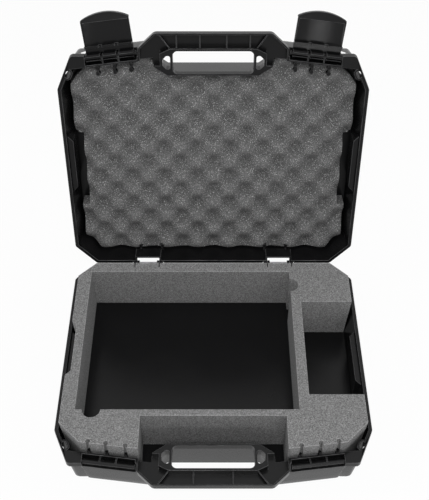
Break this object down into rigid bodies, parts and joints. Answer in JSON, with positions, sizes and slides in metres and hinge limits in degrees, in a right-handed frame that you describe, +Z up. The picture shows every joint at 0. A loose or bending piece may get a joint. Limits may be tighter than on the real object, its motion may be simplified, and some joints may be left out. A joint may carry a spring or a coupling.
{
  "type": "console carrying case",
  "caption": "Hinged moulded case with a carry handle and flip latches, a cut foam block with pockets in the base and egg-crate foam in the lid.",
  "frame": {"origin": "centre of the base's flat underside, below the middle of the rim outline with its handle", "axes": "+X to the right across the case, +Y from the handle to the hinges, +Z up"},
  "size_m": [0.432, 0.501, 0.454],
  "materials": {
    "shell_plastic": "fine moulded grain, black",
    "latch_plastic": "smoother moulded black",
    "base_foam": "open-cell polyurethane foam, mid grey",
    "lid_foam": "convoluted open-cell foam, dark grey",
    "pin_steel": "drawn steel"
  },
  "bodies": {
    "base": {"base_shell": "shell_plastic", "base_foam": "base_foam", "left_hinge_pin": "pin_steel", "right_hinge_pin": "pin_steel"},
    "lid": {"lid_shell": "shell_plastic", "lid_foam": "lid_foam"},
    "left_latch": {"left_latch": "latch_plastic"},
    "right_latch": {"right_latch": "latch_plastic"}
  },
  "joints": [
    {"name": "lid_hinge", "type": "hinge", "parent": "base", "child": "lid", "pos_m": [0, 0.19225, 0.06015], "axis": [1, 0, 0], "range_deg": [0, 101]},
    {"name": "left_latch_hinge", "type": "hinge", "parent": "lid", "child": "left_latch", "pos_m": [-0.14004, 0.2637, 0.40334], "axis": [0.9921, 0.0239, 0.123], "range_deg": [0, 98]},
    {"name": "right_latch_hinge", "type": "hinge", "parent": "lid", "child": "right_latch", "pos_m": [0.14004, 0.2637, 0.40334], "axis": [0.9921, -0.0239, -0.123], "range_deg": [0, 98]}
  ]
}
